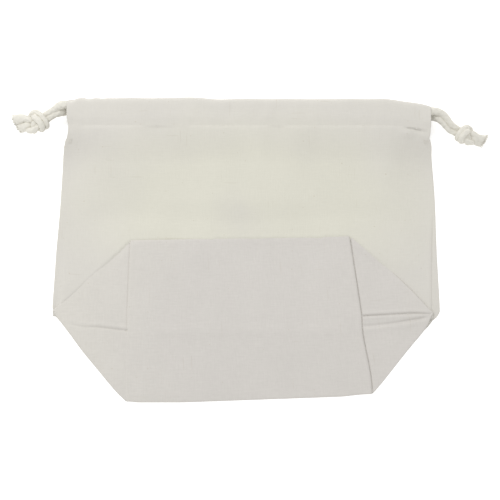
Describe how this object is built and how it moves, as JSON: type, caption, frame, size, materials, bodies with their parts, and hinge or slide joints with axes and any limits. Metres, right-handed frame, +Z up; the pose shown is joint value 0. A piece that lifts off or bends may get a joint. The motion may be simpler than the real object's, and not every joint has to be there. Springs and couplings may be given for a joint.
{
  "type": "knitting bag",
  "caption": "Flat-lying unbleached cotton drawstring project bag with a boxed base folded up over its front and two knotted round cords in a casing.",
  "frame": {"origin": "middle of the bag's flat footprint, on the surface it lies on, halfway between its side folds and halfway between the bottom fold and the mouth edge", "axes": "+X towards the bag's right as seen from the front, +Y from the base towards the mouth, +Z up, away from the surface, out of the front panel"},
  "size_m": [0.3329, 0.208, 0.0167],
  "materials": {
    "cotton_cloth": "matt unbleached plain weave",
    "cotton_cord": "matt soft-spun round cord",
    "sewing_thread": "matt spun thread"
  },
  "bodies": {
    "bag": {"back_panel": "cotton_cloth", "front_panel": "cotton_cloth", "base_lower": "cotton_cloth", "left_ear_lower": "cotton_cloth", "right_ear_lower": "cotton_cloth", "left_side_seam": "cotton_cloth", "right_side_seam": "cotton_cloth", "left_corner_seam_lower": "cotton_cloth", "right_corner_seam_lower": "cotton_cloth", "back_casing": "cotton_cloth", "front_casing": "cotton_cloth", "back_casing_stitching": "sewing_thread", "front_casing_stitching": "sewing_thread", "left_slit_tack": "sewing_thread", "right_slit_tack": "sewing_thread", "left_overlock": "sewing_thread", "right_overlock": "sewing_thread", "left_cord_turn": "cotton_cord", "right_cord_turn": "cotton_cord"},
    "base_flap": {"base_upper": "cotton_cloth", "left_ear_upper": "cotton_cloth", "right_ear_upper": "cotton_cloth", "front_foot": "cotton_cloth", "left_corner_seam_upper": "cotton_cloth", "right_corner_seam_upper": "cotton_cloth"},
    "left_cord": {"left_cord_front_strand": "cotton_cord", "left_cord_back_strand": "cotton_cord", "left_cord_front_tail": "cotton_cord", "left_cord_back_tail": "cotton_cord", "left_cord_knot": "cotton_cord", "left_cord_ends": "cotton_cord"},
    "right_cord": {"right_cord_front_strand": "cotton_cord", "right_cord_back_strand": "cotton_cord", "right_cord_front_tail": "cotton_cord", "right_cord_back_tail": "cotton_cord", "right_cord_knot": "cotton_cord", "right_cord_ends": "cotton_cord"}
  },
  "joints": [
    {"name": "base_fold", "type": "hinge", "parent": "bag", "child": "base_flap", "pos_m": [0, -0.048, 0.00435], "axis": [1, 0, 0], "range_deg": [0, 178]},
    {"name": "left_cord_pull", "type": "slide", "parent": "bag", "child": "left_cord", "axis": [-1, 0, 0], "range_m": [0, 0.18]},
    {"name": "right_cord_pull", "type": "slide", "parent": "bag", "child": "right_cord", "axis": [1, 0, 0], "range_m": [0, 0.18]}
  ]
}
